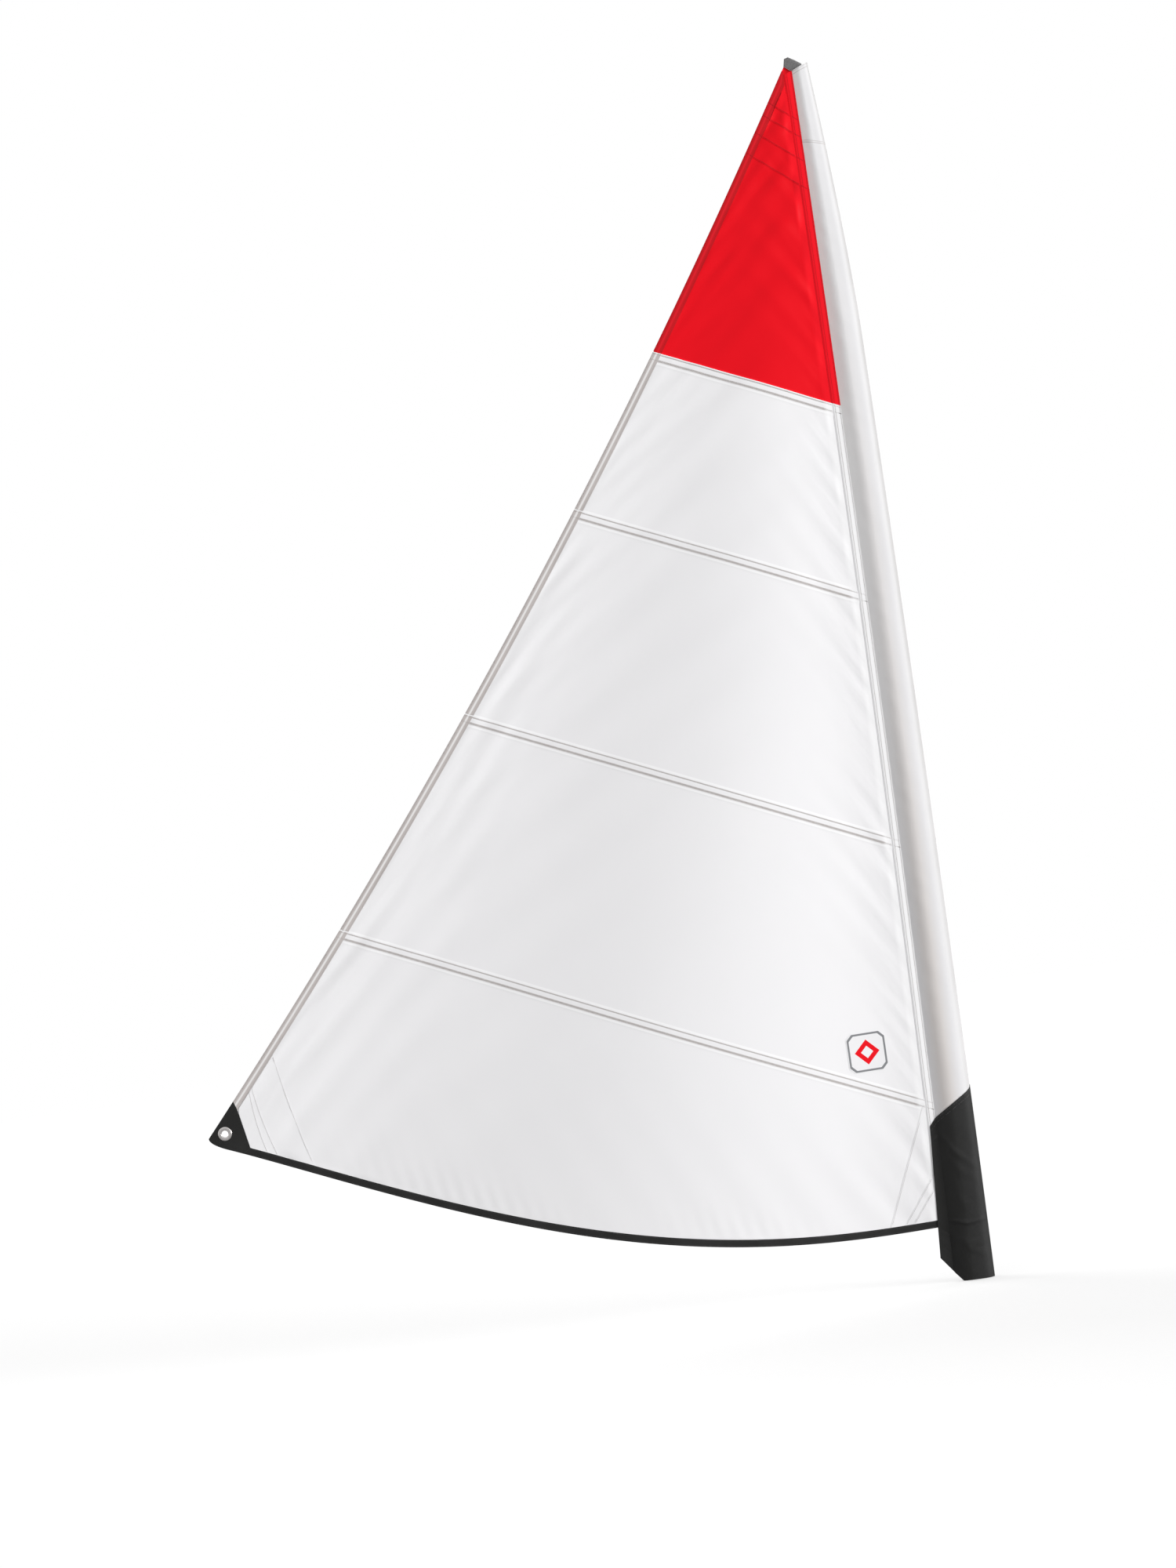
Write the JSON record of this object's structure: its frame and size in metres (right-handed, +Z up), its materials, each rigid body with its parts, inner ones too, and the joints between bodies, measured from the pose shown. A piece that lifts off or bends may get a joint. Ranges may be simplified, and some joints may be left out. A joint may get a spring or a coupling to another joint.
{
  "type": "dinghy sail",
  "caption": "Triangular mainsail for a small dinghy: cross-cut panels on a sleeve that slides over the mast, with a black boot, foot tape and an eyelet at the clew.",
  "frame": {"origin": "centre of the mast sleeve's lower mouth, on the mast's line", "axes": "+Z up the mast towards the head, -X aft towards the clew, -Y towards the side on show"},
  "size_m": [2.432, 0.1524, 3.939],
  "materials": {
    "white_cloth": "smooth resin-finished polyester sailcloth",
    "red_cloth": "dyed polyester sailcloth",
    "grey_tape": "folded hem, seen through the cloth",
    "black_cloth": "heavy woven polyester",
    "grey_webbing": "woven webbing",
    "nickel_plate": "nickel-plated brass, bright",
    "badge": "sewn cloth patch with a plain diamond"
  },
  "bodies": {
    "root": {"upper_panel": "white_cloth", "middle_panel": "white_cloth", "lower_panel": "white_cloth", "foot_panel": "white_cloth", "mast_sleeve": "white_cloth", "head_lining": "white_cloth", "body_luff_tape_front": "white_cloth", "body_luff_tape_back": "white_cloth", "clew_layer_1": "white_cloth", "clew_layer_2": "white_cloth", "clew_layer_3": "white_cloth", "tack_layer_1": "white_cloth", "tack_layer_2": "white_cloth", "tack_layer_3": "white_cloth", "head_panel": "red_cloth", "head_leech_hem": "red_cloth", "head_luff_tape_front": "red_cloth", "head_luff_tape_back": "red_cloth", "head_patch_1": "red_cloth", "head_patch_2": "red_cloth", "head_patch_3": "red_cloth", "head_patch_4": "red_cloth", "upper_leech_hem": "grey_tape", "middle_leech_hem": "grey_tape", "lower_leech_hem": "grey_tape", "foot_leech_hem": "grey_tape", "sleeve_boot": "black_cloth", "foot_tape": "black_cloth", "clew_patch_front": "black_cloth", "clew_patch_back": "black_cloth", "head_strap": "grey_webbing", "clew_eyelet": "nickel_plate", "eyelet_washer": "nickel_plate", "class_badge": "badge"}
  },
  "joints": []
}
